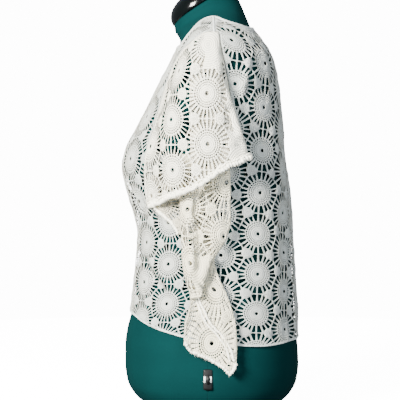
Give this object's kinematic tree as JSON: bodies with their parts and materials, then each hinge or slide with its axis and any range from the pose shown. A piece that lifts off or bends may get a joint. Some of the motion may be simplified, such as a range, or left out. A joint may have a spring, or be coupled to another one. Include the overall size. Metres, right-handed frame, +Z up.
{
  "type": "crochet top on a dress form",
  "caption": "Crochet lace top of round motifs with wide angel sleeves that hang in cascade folds, worn by a covered limbless dress form that stands on its flat base.",
  "frame": {"origin": "centre of the part's outline from above, on the plane that the form stands on", "axes": "+Z up along the form, the front of the top faces -Y, the wearer's left is +X"},
  "size_m": [0.4284, 0.3078, 0.7473],
  "materials": {
    "crochet_cotton": "soft matt off-white cotton crochet lace",
    "form_cover": "matt dark teal stretch cover",
    "cap_plastic": "glossy black moulded cap"
  },
  "bodies": {
    "root": {"top_front": "crochet_cotton", "top_back": "crochet_cotton", "neck_binding": "crochet_cotton", "sleeve_upper_left": "crochet_cotton", "sleeve_upper_right": "crochet_cotton", "sleeve_under_left": "crochet_cotton", "sleeve_under_right": "crochet_cotton", "dress_form": "form_cover", "neck_cap": "cap_plastic"}
  },
  "joints": []
}
